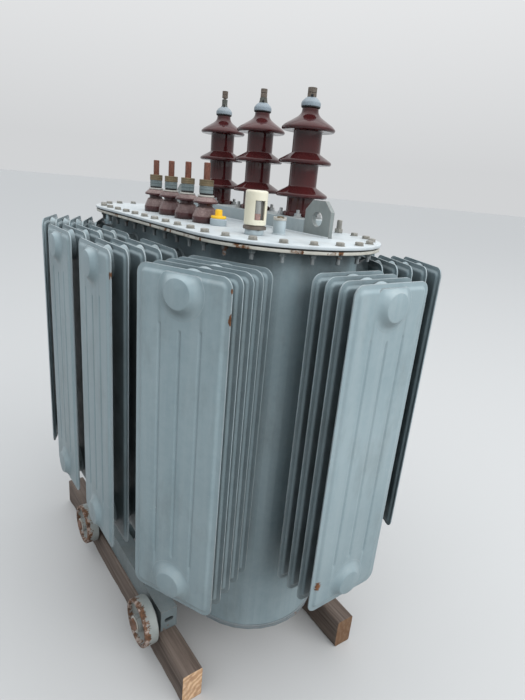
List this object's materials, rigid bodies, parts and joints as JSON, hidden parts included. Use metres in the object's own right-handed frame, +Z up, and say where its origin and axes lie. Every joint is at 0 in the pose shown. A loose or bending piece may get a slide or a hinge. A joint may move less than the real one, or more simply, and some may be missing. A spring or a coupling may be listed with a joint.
{
  "type": "oval-tank power transformer",
  "caption": "Oil-filled power transformer with an oval tank, pressed-panel radiators, porcelain bushings on a bolted cover and plain rollers, standing on two timbers.",
  "frame": {"origin": "on the ground, under the middle of the tank", "axes": "+Z up, +X along the tank towards the end with the oil gauge, -Y towards the low-voltage side"},
  "size_m": [1.4202, 0.892, 1.653],
  "materials": {
    "paint": "worn semi-gloss blue-grey paint with rust at its edges",
    "cover_paint": "dusty blue-grey paint, rusty along the rim",
    "gasket_rubber": "matt black",
    "porcelain": "glossy dark red-brown glaze",
    "terminal_metal": "tarnished",
    "cap_metal": "blue-grey paint over a cast cap",
    "yellow_plastic": "satin yellow",
    "cream_plastic": "satin cream",
    "roller_steel": "worn paint and rust",
    "timber": "weathered and dirty, with sawn ends"
  },
  "bodies": {
    "root": {"timber_lv": "timber", "timber_hv": "timber", "underframe_beam_lv": "paint", "underframe_beam_hv": "paint", "cross_member_near": "paint", "cross_member_far": "paint", "tank_side_lv": "paint", "tank_side_hv": "paint", "tank_end_near": "paint", "tank_end_far": "paint", "tank_bottom": "paint", "tank_flange": "cover_paint", "cover_gasket": "gasket_rubber", "cover_plate": "cover_paint", "radiator_near_lv": "paint", "radiator_near_end": "paint", "radiator_near_hv": "paint", "radiator_side_lv_near": "paint", "radiator_side_lv_far": "paint", "radiator_side_hv_near": "paint", "radiator_side_hv_far": "paint", "radiator_far_lv": "paint", "radiator_far_end": "paint", "radiator_far_hv": "paint", "hv_box": "paint", "hv_porcelain_1": "porcelain", "hv_porcelain_2": "porcelain", "hv_porcelain_3": "porcelain", "hv_terminal_1": "cap_metal", "hv_terminal_2": "cap_metal", "hv_terminal_3": "cap_metal", "lv_porcelain_1": "porcelain", "lv_porcelain_2": "porcelain", "lv_porcelain_3": "porcelain", "lv_porcelain_4": "porcelain", "lv_terminal_1": "terminal_metal", "lv_terminal_2": "terminal_metal", "lv_terminal_3": "terminal_metal", "lv_terminal_4": "terminal_metal", "gauge_base": "terminal_metal", "oil_gauge": "cream_plastic", "filler_pipe": "paint", "thermometer_pocket": "paint", "pocket_cap": "yellow_plastic", "lifting_lug_near": "paint", "lifting_lug_far": "paint"},
    "near_lv_roller": {"roller_near_lv": "roller_steel"},
    "near_hv_roller": {"roller_near_hv": "roller_steel"},
    "far_lv_roller": {"roller_far_lv": "roller_steel"},
    "far_hv_roller": {"roller_far_hv": "roller_steel"}
  },
  "joints": [
    {"name": "near_lv_roller_turn", "type": "hinge", "parent": "root", "child": "near_lv_roller", "pos_m": [0.2555, -0.3395, 0.125], "axis": [0, 1, 0], "continuous": true},
    {"name": "near_hv_roller_turn", "type": "hinge", "parent": "root", "child": "near_hv_roller", "pos_m": [0.2555, 0.3395, 0.125], "axis": [0, 1, 0], "continuous": true},
    {"name": "far_lv_roller_turn", "type": "hinge", "parent": "root", "child": "far_lv_roller", "pos_m": [-0.2555, -0.3395, 0.125], "axis": [0, 1, 0], "continuous": true},
    {"name": "far_hv_roller_turn", "type": "hinge", "parent": "root", "child": "far_hv_roller", "pos_m": [-0.2555, 0.3395, 0.125], "axis": [0, 1, 0], "continuous": true}
  ]
}
